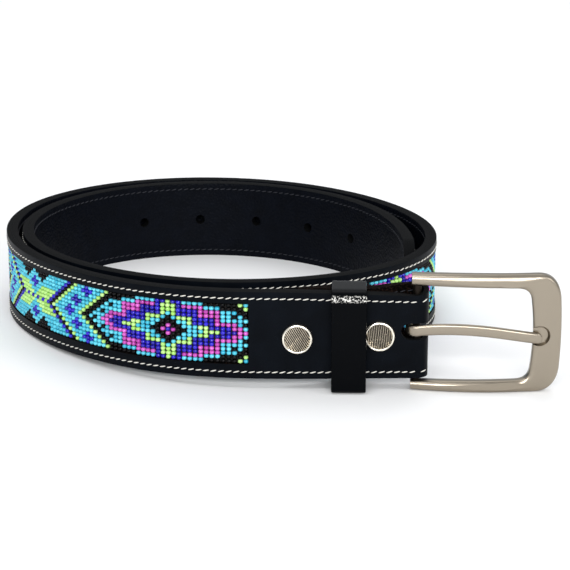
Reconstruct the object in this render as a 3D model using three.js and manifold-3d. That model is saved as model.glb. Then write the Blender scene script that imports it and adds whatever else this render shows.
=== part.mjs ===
// Beaded leather belt, unfastened and coiled nearly two turns, standing on its lower edge.
// Millimetres, +Z up. The buckle end faces -Y, and the floor is z = 0.
import * as THREE from "three";
import { mergeVertices } from "three/addons/utils/BufferGeometryUtils.js";
import Module from "manifold-3d";

const wasm = await Module();
wasm.setup();

// Strap: two leathers, one behind the other, with a long window in the outer one.
const STRAP_WIDTH = 38;
const FACE_THICK = 2.4;
const LINING_THICK = 2.5;
const FIT_GAP = 0.3;
const STRAP_THICK = FACE_THICK + FIT_GAP + LINING_THICK;
const HALF = STRAP_THICK / 2;
const EDGE_ROUND = 0.8;
const STRAP_LENGTH = 1139;
const TIP_LENGTH = 12;
const BUCKLE_WIDTH = 36;
const TAPER_FROM = 51;

// How the coil bends: [share of the strap's length from the fold, degrees turned per hundredth].
const COIL_BENDS = [
  [0, 0], [0.05, 0], [0.06, 5.2], [0.1, 6.4], [0.14, 3.6], [0.18, 5.1], [0.22, 6.4],
  [0.26, 8.4], [0.305, 7.4], [0.35, 6.5], [0.39, 5.9], [0.435, 5.1], [0.48, 7.6], [0.525, 10.2],
  [0.57, 5.9], [0.61, 6.7], [0.665, 5.8], [0.72, 8], [0.77, 8.2], [0.82, 8.1], [0.875, 6.9],
  [0.93, 6.9], [0.97, 4.6], [1, 2],
];

// The buckle and the loop stand on the floor, and the strap's buckle end stands on the lower arm.
const ARM_HEIGHT = 4.5;
const STRAP_LIFT = ARM_HEIGHT + FIT_GAP;
const LIFT_FROM = 55;
const LIFT_TO = 255;

// Fold round the bar, and the flap behind.
const BAR_X = 65;
const BAR_Y = -100.3;
const BAR_RADIUS = 1.8;
const FACE_AHEAD = 4.35;
const FOLD_OUTER = 5.6;
const FOLD_FROM = 0.65;
const FOLD_THICK = 2.1;
const SKIVE = 14;
const FOLD_MIDDLE = FOLD_OUTER - HALF;
const FOLD_LENGTH = Math.PI * FOLD_MIDDLE;
const FOLD_X = BAR_X - FOLD_FROM;
const FOLD_Y = BAR_Y - FACE_AHEAD + FOLD_OUTER;
const FLAP_START = FOLD_FROM - FOLD_LENGTH;
const FLAP_LENGTH = 55;
const FLAP_BULGE = 0.3;
const FLAP_DROP = 4.6;
const FLAP_TAPER_FROM = 35;
const FLAP_END_THICK = 1.5;
const FLAP_RISE = 1.1;
const FLAP_RISE_LENGTH = 20;
const LINING_START = 6;

// Bead window, punched holes and tongue slot.
const BEAD_PITCH = 2.414;
const BEAD_COLUMNS = 309;
const WINDOW_START = 70;
const WINDOW_END = WINDOW_START + BEAD_COLUMNS * BEAD_PITCH;
const WINDOW_LOW = 6.2;
const WINDOW_HIGH = 32.8;
const BAND_DEPTH = 2.0;
const HOLE_FIRST = 932.8;
const HOLE_PITCH = 30;
const HOLE_COUNT = 5;
const HOLE_RADIUS = 2.4;
const SLOT_REACH = 6.3;
const SLOT_HEIGHT = 7.6;

// Buckle: a cast frame with a bar, and a tongue hooked round the bar.
const FRAME_LENGTH = 60.3;
const FRAME_HEIGHT = 51.5;
const FRAME_MIDDLE = FRAME_HEIGHT / 2;
const FRAME_DEPTH = 5.2;
const FRAME_BACK = 1.8;
const FRAME_BOW = 3.3;
const FRAME_LEAN = -1.6;
const TOP_ARM = 5.4;
const RIGHT_BAR = 11.7;
const ARM_OVERHANG = 2.4;
const FRAME_BEVEL = 0.9;
const TONGUE_WIDTH = 4.8;
const TONGUE_THICK = 2.4;
const TONGUE_TIP = 52;
const TONGUE_RISE = 0.5;
const TONGUE_BOW = 2.2;
const TONGUE_DROP = 2.5;
const TONGUE_Z = FRAME_MIDDLE + TONGUE_RISE;
const NOTCH_HEIGHT = 7.6;
const NOTCH_DROP = 0.9;
const NOTCH_DEPTH = 1.5;
const NOTCH_REACH = 2.8;
const HOOK_GAP = 0.45;
const CORNER_REACH = 10.3;
const CORNER_RISE = 11;
const INNER_CORNER = 7;

// Loop and snap caps.
const LOOP_LEFT = 21;
const LOOP_WIDTH = 14.6;
const LOOP_FAR = LOOP_LEFT + LOOP_WIDTH;
const LOOP_WALL = 1.5;
const LOOP_FRONT = 5.9;
const LOOP_CORNER = 2.2;
const LOOP_SHOULDER = 6;
const CAP_RADIUS = 6.5;
const CAP_HEIGHT = 1.9;
const POST_RADIUS = 2.2;
const HEAD_RADIUS = 4;
const SNAPS = [
  { name: "snap_cap_1", back: FLAP_LENGTH - 4.6, z: 22.9 },
  { name: "snap_cap_2", back: 15.6, z: 24.4 },
];

const smooth = (t) => THREE.MathUtils.smoothstep(t, 0, 1);

// Closed solids and back again.
function solidOf(geometry) {
  const bare = geometry.index ? geometry.toNonIndexed() : geometry.clone();
  bare.deleteAttribute("normal");
  bare.deleteAttribute("uv");
  const merged = mergeVertices(bare, 1e-4);
  return new wasm.Manifold(
    new wasm.Mesh({
      numProp: 3,
      vertProperties: new Float32Array(merged.attributes.position.array),
      triVerts: new Uint32Array(merged.index.array),
    }),
  );
}

function geometryOf(solid) {
  const mesh = solid.getMesh();
  const g = new THREE.BufferGeometry();
  g.setAttribute("position", new THREE.BufferAttribute(new Float32Array(mesh.vertProperties), 3));
  g.setIndex(new THREE.BufferAttribute(new Uint32Array(mesh.triVerts), 1));
  return g;
}

// The middle line of the coil in short steps, from the fold onwards.
const STEP = 0.5;
const COIL = (() => {
  const line = [];
  const at = new THREE.Vector2(BAR_X, FOLD_Y - FOLD_MIDDLE);
  let heading = Math.PI;
  for (let s = 0; s <= STRAP_LENGTH + 1; s += STEP) {
    line.push({ x: at.x, y: at.y, heading });
    const share = (s + STEP / 2) / STRAP_LENGTH;
    const turn = THREE.MathUtils.degToRad((bendAt(share) * 100 * STEP) / STRAP_LENGTH);
    at.x += Math.cos(heading - turn / 2) * STEP;
    at.y += Math.sin(heading - turn / 2) * STEP;
    heading -= turn;
  }
  return line;
})();

function bendAt(share) {
  const last = COIL_BENDS.length - 1;
  const found = COIL_BENDS.findIndex((b) => b[0] >= share);
  const i = found < 1 ? (found < 0 ? last : 1) : found;
  const [from, k0] = COIL_BENDS[i - 1];
  const [to, k1] = COIL_BENDS[i];
  return THREE.MathUtils.mapLinear(share, from, to, k0, k1);
}

// How far the flap's middle line stands behind the fold's back, u mm along the flap.
function flapOffset(u) {
  const fall = smooth((u - FLAP_TAPER_FROM) / (FLAP_LENGTH - FLAP_TAPER_FROM));
  return FLAP_BULGE * smooth(u / 18) - FLAP_DROP * fall;
}

// Point and outward normal of the middle line; s is 0 where the fold meets the straight front.
function pathAt(s) {
  if (s >= FOLD_FROM) {
    const f = Math.min(s / STEP, COIL.length - 1.001);
    const i = Math.floor(f);
    const a = COIL[i];
    const b = COIL[i + 1];
    const t = f - i;
    const heading = THREE.MathUtils.lerp(a.heading, b.heading, t);
    return {
      x: THREE.MathUtils.lerp(a.x, b.x, t),
      y: THREE.MathUtils.lerp(a.y, b.y, t),
      nx: -Math.sin(heading),
      ny: Math.cos(heading),
    };
  }
  if (s > FLAP_START) {
    const a = (FOLD_FROM - s) / FOLD_MIDDLE;
    return {
      x: FOLD_X + FOLD_MIDDLE * Math.sin(a),
      y: FOLD_Y - FOLD_MIDDLE * Math.cos(a),
      nx: Math.sin(a),
      ny: -Math.cos(a),
    };
  }
  const u = FLAP_START - s;
  return { x: FOLD_X - u, y: FOLD_Y + FOLD_MIDDLE + flapOffset(u), nx: 0, ny: 1 };
}

// The leather is skived thin round the fold and towards the end of the flap.
function thinning(s) {
  const thin = FOLD_THICK / STRAP_THICK;
  if (s > FOLD_FROM - FOLD_LENGTH / 2) return THREE.MathUtils.lerp(thin, 1, smooth(s / SKIVE));
  const u = FLAP_START - s;
  const end = FLAP_END_THICK / STRAP_THICK;
  if (u < FLAP_TAPER_FROM) return THREE.MathUtils.lerp(thin, 1, smooth(u / SKIVE));
  return THREE.MathUtils.lerp(1, end, smooth((u - FLAP_TAPER_FROM) / (FLAP_LENGTH - FLAP_TAPER_FROM)));
}

function liftAt(s) {
  return STRAP_LIFT * (1 - smooth((s - LIFT_FROM) / (LIFT_TO - LIFT_FROM)));
}

// The strap is cut narrower towards the buckle, and its flap is as wide as the rest.
function widthShare(s) {
  const narrow = BUCKLE_WIDTH / STRAP_WIDTH;
  if (s > FLAP_START) return THREE.MathUtils.lerp(narrow, 1, THREE.MathUtils.clamp(s / TAPER_FROM, 0, 1));
  return THREE.MathUtils.lerp(narrow, 1, smooth((FLAP_START - s) / SKIVE));
}

// The flap is folded a little askew, so that it stands above the front next to the buckle.
function riseAt(s) {
  const share = THREE.MathUtils.clamp((FLAP_START - s) / FLAP_RISE_LENGTH, 0, 1);
  return liftAt(s) + FLAP_RISE * Math.sin(Math.PI * share);
}

function heightAt(s, z) {
  const middle = STRAP_WIDTH / 2;
  return middle + (z - middle) * widthShare(s) + riseAt(s);
}

function flatHeight(s, z) {
  const middle = STRAP_WIDTH / 2;
  return middle + (z - riseAt(s) - middle) / widthShare(s);
}

// Stations where a flat piece is cut so that it can bend.
const STATIONS = (() => {
  const list = [];
  for (let i = 0; i <= 8; i++) list.push(FOLD_FROM - (FOLD_LENGTH * i) / 8);
  for (const d of [3, 6, 10, 14]) list.push(d, FLAP_START - d);
  for (const d of [17, 20, 36, 40, 44, 48, 52]) list.push(FLAP_START - d);
  for (const s of [25, 40, 56]) list.push(s);
  for (let s = 72; s < STRAP_LENGTH; s += 16) list.push(s);
  return list.sort((a, b) => a - b);
})();

// Cuts a flat convex polygon at x = s; corners on the cut line belong to both halves.
function cutPolygon(poly, s) {
  const side = poly.map((p) => (Math.abs(p.x - s) < 1e-4 ? 0 : Math.sign(p.x - s)));
  const below = [];
  const above = [];
  poly.forEach((a, i) => {
    const j = (i + 1) % poly.length;
    const b = poly[j];
    if (side[i] <= 0) below.push(a);
    if (side[i] >= 0) above.push(a);
    if (side[i] * side[j] >= 0) return;
    const [lo, hi] = a.x < b.x ? [a, b] : [b, a];
    const p = lo.clone().lerp(hi, (s - lo.x) / (hi.x - lo.x));
    p.x = s;
    below.push(p);
    above.push(p);
  });
  const solid = (part, sign) => (side.includes(sign) ? part : []);
  return [solid(below, -1), solid(above, 1)];
}

// Cuts every triangle at all stations, so that the piece can bend there.
function sliceAlong(geometry, stations) {
  const flat = geometry.index ? geometry.toNonIndexed() : geometry;
  const p = flat.attributes.position;
  const points = [];
  const emit = (poly) => {
    for (let k = 1; k + 1 < poly.length; k++) points.push(poly[0], poly[k], poly[k + 1]);
  };
  for (let i = 0; i < p.count; i += 3) {
    let rest = [0, 1, 2].map((k) => new THREE.Vector3().fromBufferAttribute(p, i + k));
    for (const s of stations) {
      const [below, above] = cutPolygon(rest, s);
      if (above.length === 0) break;
      emit(below);
      rest = above;
    }
    emit(rest);
  }
  return new THREE.BufferGeometry().setFromPoints(points);
}

// Lays a flat piece (x along, y out of the face, z up) along the belt.
function bendAlong(solid) {
  const g = sliceAlong(geometryOf(solid), STATIONS);
  const p = g.attributes.position;
  for (let i = 0; i < p.count; i++) {
    const s = p.getX(i);
    const at = pathAt(s);
    const n = HALF - (HALF - p.getY(i)) * thinning(s);
    p.setXYZ(i, at.x + at.nx * n, at.y + at.ny * n, heightAt(s, p.getZ(i)));
  }
  return solidOf(g);
}

// A flat strip with its two outer corners rounded off; the rounded side is at y = out.
function strip(start, end, back, out) {
  const r = EDGE_ROUND;
  const w = STRAP_WIDTH;
  const into = Math.sign(back - out);
  const corners = [
    [back, 0], [out + into * r, 0], [out, r], [out, w - r], [out + into * r, w], [back, w],
  ].map(([y, z]) => new THREE.Vector2(y, z));
  const g = new THREE.ExtrudeGeometry(new THREE.Shape(corners), {
    depth: end - start,
    bevelEnabled: false,
  });
  g.applyMatrix4(
    new THREE.Matrix4().makeBasis(
      new THREE.Vector3(0, 1, 0),
      new THREE.Vector3(0, 0, 1),
      new THREE.Vector3(1, 0, 0),
    ),
  );
  return solidOf(g.translate(start, 0, 0));
}

// A prism through the flat strap: the outline is drawn in x (along) and z (up).
function through(shape, y0, y1, segments = 8) {
  const g = new THREE.ExtrudeGeometry(shape, {
    depth: y1 - y0,
    bevelEnabled: false,
    curveSegments: segments,
  });
  g.rotateX(Math.PI / 2);
  return solidOf(g.translate(0, y1, 0));
}

function roundHole(s, z, radius) {
  const shape = new THREE.Shape().absarc(s, z, radius, 0, 2 * Math.PI);
  return through(shape, -HALF - 1, HALF + 1, 8);
}

function tongueSlot() {
  const r = SLOT_HEIGHT / 2;
  const z = TONGUE_Z - STRAP_LIFT;
  const shape = new THREE.Shape();
  shape.absarc(SLOT_REACH - r, z, r, -Math.PI / 2, Math.PI / 2);
  shape.absarc(FLAP_START - SLOT_REACH + r, z, r, Math.PI / 2, (3 * Math.PI) / 2);
  return through(shape, -HALF - 1, HALF + 1, 5);
}

// What the rounded point of the tail leaves over of a square end.
function tailWaste() {
  const mid = STRAP_WIDTH / 2;
  const from = STRAP_LENGTH - TIP_LENGTH;
  const shape = new THREE.Shape();
  shape.moveTo(from, -1);
  shape.lineTo(STRAP_LENGTH + 1, -1);
  shape.lineTo(STRAP_LENGTH + 1, STRAP_WIDTH + 1);
  shape.lineTo(from, STRAP_WIDTH + 1);
  shape.lineTo(from, STRAP_WIDTH);
  shape.absellipse(from, mid, TIP_LENGTH, mid, Math.PI / 2, -Math.PI / 2, true);
  return through(shape, -HALF - 1, HALF + 1, 7);
}

function snapHole(snap, atFlap) {
  const s = atFlap ? FLAP_START - snap.back + FOLD_FROM : snap.back;
  return roundHole(s, flatHeight(s, snap.z), POST_RADIUS + 0.4);
}

// The coiled layer with its tail rounded and its slot and holes cut square to the leather.
function punched(layer) {
  const cuts = [tailWaste(), tongueSlot()];
  for (const snap of SNAPS) cuts.push(snapHole(snap, false), snapHole(snap, true));
  for (let i = 0; i < HOLE_COUNT; i++)
    cuts.push(roundHole(HOLE_FIRST + i * HOLE_PITCH, STRAP_WIDTH / 2, HOLE_RADIUS));
  return cuts.reduce((solid, cut) => solid.subtract(bendAlong(cut)), bendAlong(layer));
}

function rectangle(x0, x1, z0, z1) {
  return new THREE.Shape([
    new THREE.Vector2(x0, z0),
    new THREE.Vector2(x1, z0),
    new THREE.Vector2(x1, z1),
    new THREE.Vector2(x0, z1),
  ]);
}

function strapFace() {
  const window_ = rectangle(WINDOW_START, WINDOW_END, WINDOW_LOW, WINDOW_HIGH);
  const whole = strip(FLAP_START - FLAP_LENGTH, STRAP_LENGTH, HALF - FACE_THICK, HALF);
  return geometryOf(punched(whole).subtract(bendAlong(through(window_, -HALF, HALF + 1))));
}

function strapLining() {
  const start = FLAP_START - FLAP_LENGTH + LINING_START;
  return geometryOf(punched(strip(start, STRAP_LENGTH, -HALF + LINING_THICK, -HALF)));
}

function beadBand() {
  const outline = rectangle(
    WINDOW_START + FIT_GAP,
    WINDOW_END - FIT_GAP,
    WINDOW_LOW + FIT_GAP,
    WINDOW_HIGH - FIT_GAP,
  );
  const back = HALF - FACE_THICK;
  return geometryOf(bendAlong(through(outline, back, back + BAND_DEPTH)));
}

// Buckle frame in its own place: x from the bar, z up, y0 on the bar.
function frameCentre(x) {
  const t = (x + ARM_OVERHANG) / (FRAME_LENGTH + ARM_OVERHANG);
  return -FRAME_BACK - FRAME_LEAN * t - FRAME_BOW * Math.sin(Math.PI * t);
}

// The frame's outline from the front: outer edge, then back along the edge of the opening.
function frameOutline() {
  const h = FRAME_HEIGHT / 2;
  const left = -ARM_OVERHANG;
  const right = FRAME_LENGTH;
  const low = h - ARM_HEIGHT;
  const top = h - TOP_ARM;
  const inner = FRAME_LENGTH - RIGHT_BAR;
  const reach = right - CORNER_REACH;
  const rise = h - CORNER_RISE;
  const turn = inner - INNER_CORNER;
  const side = top - INNER_CORNER;
  const under = low - INNER_CORNER;
  const shape = new THREE.Shape();
  shape.moveTo(left, -h + 0.5);
  shape.quadraticCurveTo(right * 0.23, -h, right * 0.46, -h);
  shape.lineTo(reach, -h + 0.2);
  shape.bezierCurveTo(right - 4, -h + 0.4, right - 1, -h + 5, right - 0.6, -rise);
  shape.quadraticCurveTo(right + 0.4, 0, right - 0.6, rise);
  shape.bezierCurveTo(right - 1, h - 5, right - 4, h - 0.4, reach, h - 0.2);
  shape.lineTo(right * 0.46, h);
  shape.quadraticCurveTo(right * 0.23, h, left, h - 0.5);
  shape.lineTo(left, top);
  shape.lineTo(turn, top - 0.7);
  shape.bezierCurveTo(inner - 3, top - 0.9, inner - 1.5, top - 3, inner - 1.2, side);
  shape.quadraticCurveTo(inner + 0.6, 0, inner - 1.2, -under);
  shape.bezierCurveTo(inner - 1.5, -low + 3, inner - 3, -low + 0.9, turn, -low + 0.7);
  shape.lineTo(left, -low);
  return shape;
}

// Each arm and the right bar in one, bevelled all round, bowed forward and given its bar.
function buckleFrame() {
  const b = FRAME_BEVEL;
  const slab = new THREE.ExtrudeGeometry(frameOutline(), {
    depth: FRAME_DEPTH - 2 * b,
    bevelThickness: b,
    bevelSize: b,
    bevelOffset: -b,
    bevelSegments: 2,
    curveSegments: 4,
  });
  slab.rotateX(Math.PI / 2).translate(0, FRAME_DEPTH / 2 - b, 0);
  const notch = through(
    rectangle(
      FRAME_LENGTH - RIGHT_BAR - 3,
      TONGUE_TIP + NOTCH_REACH,
      -NOTCH_DROP - NOTCH_HEIGHT / 2,
      -NOTCH_DROP + NOTCH_HEIGHT / 2,
    ),
    -FRAME_DEPTH,
    -FRAME_DEPTH / 2 + NOTCH_DEPTH,
  );
  const stations = [];
  for (let x = 4; x < FRAME_LENGTH; x += 7) stations.push(x);
  const g = sliceAlong(geometryOf(solidOf(slab).subtract(notch)), stations);
  const p = g.attributes.position;
  for (let i = 0; i < p.count; i++) p.setY(i, p.getY(i) + frameCentre(p.getX(i)));
  const bar = new THREE.CylinderGeometry(BAR_RADIUS, BAR_RADIUS, FRAME_HEIGHT - ARM_HEIGHT, 16);
  bar.rotateX(Math.PI / 2);
  return geometryOf(solidOf(g).add(solidOf(bar)));
}

// The tongue's middle line in plan: a hook round the bar, then a shank that ends in the notch.
function tonguePath() {
  const r = BAR_RADIUS + HOOK_GAP + TONGUE_THICK / 2;
  const points = [];
  for (let a = 75; a <= 258; a += 20.3) {
    const t = THREE.MathUtils.degToRad(a);
    points.push(new THREE.Vector3(r * Math.cos(t), r * Math.sin(t), 0));
  }
  const edge = FRAME_LENGTH - RIGHT_BAR - 1.1;
  points.push(new THREE.Vector3(2.5, -r - 0.3, 0));
  points.push(new THREE.Vector3(9, -r - 0.9, 0));
  points.push(new THREE.Vector3(18, -r - 1.5, 0));
  points.push(new THREE.Vector3(30, restAt(edge) - 0.2, 0));
  points.push(new THREE.Vector3(edge - 6, restAt(edge) - 0.3, 0));
  points.push(new THREE.Vector3(edge, restAt(edge), 0));
  points.push(new THREE.Vector3(TONGUE_TIP, restAt(TONGUE_TIP), 0));
  return new THREE.CatmullRomCurve3(points);
}

// Where the tongue's middle line lies when its back is just clear of the notch's floor.
function restAt(x) {
  return frameCentre(x) - FRAME_DEPTH / 2 + NOTCH_DEPTH - FIT_GAP - TONGUE_THICK / 2;
}

// The shank arches up from the hook and comes down to the notch.
function tongueLift(x) {
  const t = THREE.MathUtils.clamp(x / TONGUE_TIP, 0, 1);
  return TONGUE_BOW * Math.sin(Math.PI * t) - TONGUE_DROP * t;
}

function buckleTongue() {
  const w = TONGUE_WIDTH / 2;
  const t = TONGUE_THICK / 2;
  const c = 0.7;
  const section = new THREE.Shape(
    [
      [-w + c, -t], [w - c, -t], [w, -t + c], [w, t - c],
      [w - c, t], [-w + c, t], [-w, t - c], [-w, -t + c],
    ].map(([x, y]) => new THREE.Vector2(x, y)),
  );
  const g = new THREE.ExtrudeGeometry(section, { steps: 34, extrudePath: tonguePath() });
  const p = g.attributes.position;
  for (let i = 0; i < p.count; i++) p.setZ(i, p.getZ(i) + tongueLift(p.getX(i)));
  return g;
}

// Leather loop: a closed band round the strap and its flap, drawn in y and z.
function loopOutline(inset) {
  const front = BAR_Y - FACE_AHEAD - LOOP_FRONT + inset;
  const back = FOLD_Y + FOLD_OUTER + FLAP_BULGE + 2.1 - inset;
  const low = 0.5 + inset;
  const high = STRAP_WIDTH + STRAP_LIFT + FIT_GAP + LOOP_WALL - inset;
  const r = LOOP_CORNER - inset * 0.6;
  const shoulder = LOOP_SHOULDER - inset;
  const shape = new THREE.Shape();
  shape.moveTo(front + r, low);
  shape.lineTo(back - r, low);
  shape.quadraticCurveTo(back, low, back, low + r);
  shape.lineTo(back, high - r);
  shape.quadraticCurveTo(back, high, back - r, high);
  shape.lineTo(front + shoulder, high);
  shape.quadraticCurveTo(front, high, front, high - shoulder);
  shape.lineTo(front, low + r);
  shape.quadraticCurveTo(front, low, front + r, low);
  return shape;
}

function keeperLoop() {
  const shape = loopOutline(0);
  shape.holes.push(loopOutline(LOOP_WALL));
  const g = new THREE.ExtrudeGeometry(shape, {
    depth: LOOP_WIDTH,
    bevelEnabled: false,
    curveSegments: 4,
  });
  g.applyMatrix4(
    new THREE.Matrix4().makeBasis(
      new THREE.Vector3(0, 1, 0),
      new THREE.Vector3(0, 0, 1),
      new THREE.Vector3(1, 0, 0),
    ),
  );
  return g.translate(BAR_X - LOOP_FAR, 0, 0);
}

// A snap: rimmed cap in front, post through the leathers, flat head behind the flap.
function snap(spec) {
  const u = spec.back - FOLD_FROM;
  const crest = Math.max(...[-HEAD_RADIUS, 0, HEAD_RADIUS].map((d) => flapOffset(u + d)));
  const flap = FOLD_Y + FOLD_OUTER + crest + FIT_GAP;
  const front = BAR_Y - FACE_AHEAD - FIT_GAP;
  const span = flap - front;
  const outline = [
    [0, -CAP_HEIGHT + 0.7], [CAP_RADIUS - 1, -CAP_HEIGHT + 0.5], [CAP_RADIUS - 0.7, -CAP_HEIGHT],
    [CAP_RADIUS - 0.2, -CAP_HEIGHT + 0.3], [CAP_RADIUS, -CAP_HEIGHT + 1], [CAP_RADIUS, 0],
    [POST_RADIUS, 0], [POST_RADIUS, span], [HEAD_RADIUS, span],
    [HEAD_RADIUS, span + 0.8], [HEAD_RADIUS - 0.6, span + 1.2],
    [0, span + 1.2],
  ].map(([r, h]) => new THREE.Vector2(r, h));
  const g = new THREE.LatheGeometry(outline, 20);
  return g.translate(0, front, 0);
}

const LEATHER = { color: 0x0c1219, roughness: 0.55, metalness: 0 };
const NICKEL = { color: 0xb0a696, roughness: 0.3, metalness: 1 };
const GLASS = { color: 0x3a9fd0, roughness: 0.25, metalness: 0 };

function named(name, geometry, look, x = 0, y = 0, z = 0) {
  const mesh = new THREE.Mesh(geometry, new THREE.MeshStandardMaterial(look));
  mesh.name = name;
  mesh.position.set(x, y, z);
  return mesh;
}

const belt = new THREE.Group();
belt.add(named("strap_face", strapFace(), LEATHER));
belt.add(named("strap_lining", strapLining(), LEATHER));
belt.add(named("bead_band", beadBand(), GLASS));
belt.add(named("keeper_loop", keeperLoop(), LEATHER));
for (const spec of SNAPS) belt.add(named(spec.name, snap(spec), NICKEL, BAR_X - spec.back, 0, spec.z));

const buckle = new THREE.Group();
buckle.position.set(BAR_X, BAR_Y, FRAME_MIDDLE);
buckle.add(named("buckle_frame", buckleFrame(), NICKEL));
buckle.add(named("buckle_tongue", buckleTongue(), NICKEL, 0, 0, TONGUE_Z - FRAME_MIDDLE));
belt.add(buckle);

export default belt;
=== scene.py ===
# %% [markdown]
# # A beaded leather belt
# A loomed panel of seed beads is set in the window of a black leather strap.
# The strap lies coiled on its lower edge, with its prong buckle undone and pointing to the right.
# Every cell below makes one thing: first the shape that all the leather follows, then the leather,
# the beads, the thread, the snaps, the buckle, and at last the light.

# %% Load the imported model
import math

import bmesh
import bpy
import numpy as np
from mathutils import Matrix, Vector


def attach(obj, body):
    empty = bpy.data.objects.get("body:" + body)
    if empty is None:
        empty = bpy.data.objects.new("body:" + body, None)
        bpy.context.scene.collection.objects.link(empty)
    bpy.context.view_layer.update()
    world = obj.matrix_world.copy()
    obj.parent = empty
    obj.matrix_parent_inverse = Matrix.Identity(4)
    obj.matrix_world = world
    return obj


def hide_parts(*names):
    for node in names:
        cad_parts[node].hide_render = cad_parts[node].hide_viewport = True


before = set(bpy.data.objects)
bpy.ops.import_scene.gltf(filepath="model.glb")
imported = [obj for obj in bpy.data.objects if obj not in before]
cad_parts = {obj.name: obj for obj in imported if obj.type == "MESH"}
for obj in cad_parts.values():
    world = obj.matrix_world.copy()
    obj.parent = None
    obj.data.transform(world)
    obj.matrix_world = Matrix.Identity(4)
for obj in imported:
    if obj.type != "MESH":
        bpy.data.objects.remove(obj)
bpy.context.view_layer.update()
MM = 0.001
print("CAD nodes:", ", ".join(sorted(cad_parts)))

# %% [markdown]
# ## The camera
# A long lens a metre away, 17 degrees above the table, keeps the coil's ellipses nearly as flat as
# an orthographic view would, but the near side is still a little larger than the far side.

# %% Camera
CAMERA_AT = Vector((35.4, -910.2, 292.5)) * MM
CAMERA_TO = Vector((7.3, -16.2, 19.0)) * MM
CAMERA_LENS = 128.6

camera = bpy.data.objects.new("camera", bpy.data.cameras.new("camera"))
camera.location = CAMERA_AT
camera.rotation_euler = (CAMERA_TO - CAMERA_AT).to_track_quat("-Z", "Y").to_euler()
camera.data.lens = CAMERA_LENS
camera.data.sensor_width = 36.0
bpy.context.collection.objects.link(camera)
bpy.context.scene.camera = camera
print("camera distance:", round((CAMERA_TO - CAMERA_AT).length, 3), "m")

# %% [markdown]
# ## The coil
# The belt is one flat strip that was bent. The easiest way to model such a thing is to make every
# layer flat, with x along the belt, y out of its face and z up, and then to lay all of them along
# the same curve. The curve is written as how fast the strip turns at a few places along it, because
# that is how leather behaves: its bend changes slowly and its length never changes.

# %% Sizes of the strap, in millimetres
# COIL_BENDS holds pairs: a share of the length, and the degrees that a hundredth of it turns there.
WIDTH = 38.0
HALF = 2.6
FACE_BACK = 0.02
LINING_FRONT = -0.02
LENGTH = 1139.0
TIP = 12.0
BUCKLE_WIDTH = 36.0
TAPER_FROM = 51.0
ARM_HEIGHT = 4.5
FIT_GAP = 0.3
LIFT = ARM_HEIGHT + FIT_GAP
LIFT_FROM, LIFT_TO = 55.0, 255.0
BAR = Vector((65.0, -100.3, 25.75))
FACE_AHEAD = 4.35
FOLD_OUTER = 5.6
FOLD_FROM = 0.65
FOLD_MIDDLE = FOLD_OUTER - HALF
FOLD = math.pi * FOLD_MIDDLE
FOLD_X = BAR.x - FOLD_FROM
FOLD_Y = BAR.y - FACE_AHEAD + FOLD_OUTER
FLAP_START = FOLD_FROM - FOLD
FLAP = 55.0
FLAP_END = FLAP_START - FLAP
FLAP_BULGE, FLAP_SWELL, FLAP_DROP, FLAP_TAPER = 0.3, 18.0, 4.6, 35.0
FLAP_RISE, FLAP_RISE_LENGTH = 2.9, 19.0
SLOT_TOP = 25.5
COIL_BENDS = (
    (0, 0), (0.05, 0), (0.06, 5.2), (0.1, 6.4), (0.14, 3.6), (0.18, 5.1), (0.22, 6.4),
    (0.26, 8.4), (0.305, 7.4), (0.35, 6.5), (0.39, 5.9), (0.435, 5.1), (0.48, 7.6), (0.525, 10.2),
    (0.57, 5.9), (0.61, 6.7), (0.665, 5.8), (0.72, 8), (0.77, 8.2), (0.82, 8.1), (0.875, 6.9),
    (0.93, 6.9), (0.97, 4.6), (1, 2),
)

# %% The middle line of the coil
STEP = 0.5


def smooth(t):
    t = np.clip(t, 0.0, 1.0)
    return t * t * (3.0 - 2.0 * t)


def walk_the_coil():
    share, bend = np.array(COIL_BENDS).T
    places = np.arange(0.0, LENGTH + 1.0 + STEP, STEP)
    turns = np.radians(np.interp((places + STEP / 2) / LENGTH, share, bend) * 100 * STEP / LENGTH)
    heading = math.pi - np.concatenate(([0.0], np.cumsum(turns)[:-1]))
    steps = np.stack((np.cos(heading - turns / 2), np.sin(heading - turns / 2))) * STEP
    start = np.array([[BAR.x], [FOLD_Y - FOLD_MIDDLE]])
    line = start + np.concatenate((np.zeros((2, 1)), np.cumsum(steps, axis=1)[:, :-1]), axis=1)
    return places, line[0], line[1], heading


PLACES, LINE_X, LINE_Y, HEADING = walk_the_coil()
print("the coil turns", round(math.degrees(HEADING[0] - HEADING[-1])), "degrees")

# %% Laying flat points along the coil
FOLD_THICK, END_THICK = 2.1, 1.5
THIN_FOLD, THIN_END = FOLD_THICK / (2 * HALF), END_THICK / (2 * HALF)
SKIVE = 14.0


def flap_offset(u):
    """The flap stands off the strap a little past the fold, and its thin end comes down to it."""
    drop = smooth((u - FLAP_TAPER) / (FLAP - FLAP_TAPER))
    return FLAP_BULGE * smooth(u / FLAP_SWELL) - FLAP_DROP * drop


def thinning(s):
    """The leather is pared thin at the fold and at the flap's end, as a belt maker does."""
    u = FLAP_START - s
    coil = THIN_FOLD + (1 - THIN_FOLD) * smooth(s / SKIVE)
    near = THIN_FOLD + (1 - THIN_FOLD) * smooth(u / SKIVE)
    far = 1 + (THIN_END - 1) * smooth((u - FLAP_TAPER) / (FLAP - FLAP_TAPER))
    return np.where(s > FOLD_FROM - FOLD / 2, coil, np.where(u < FLAP_TAPER, near, far))


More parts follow.
